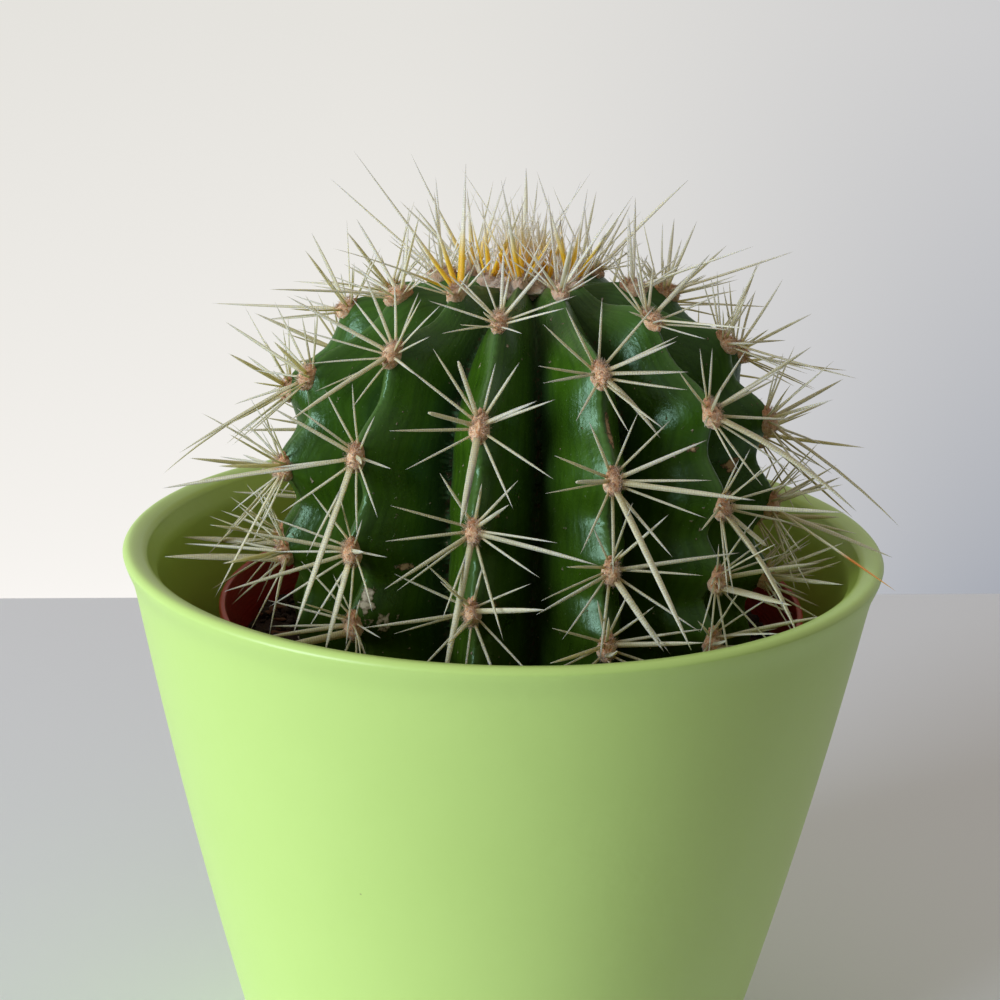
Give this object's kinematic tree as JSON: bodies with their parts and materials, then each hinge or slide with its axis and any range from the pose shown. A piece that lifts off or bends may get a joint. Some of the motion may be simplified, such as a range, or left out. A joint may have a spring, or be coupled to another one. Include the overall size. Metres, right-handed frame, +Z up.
{
  "type": "potted round cactus",
  "caption": "Round ribbed barrel cactus with straw-coloured spines, in a red nursery pot standing inside a lime-green glazed cover pot.",
  "frame": {"origin": "centre of the cover pot's foot, on the surface that it stands on", "axes": "+Z up out of the pots through the crown, -Y towards the plant's front, +X to its right-hand side as seen from the front"},
  "size_m": [0.15, 0.15, 0.1959],
  "materials": {
    "green_glaze": "satin",
    "red_plastic": "satin",
    "potting_mix": "matte",
    "cactus_flesh": "satin"
  },
  "bodies": {
    "root": {"cover_pot": "green_glaze", "nursery_pot": "red_plastic", "potting_soil": "potting_mix", "cactus": "cactus_flesh"}
  },
  "joints": []
}
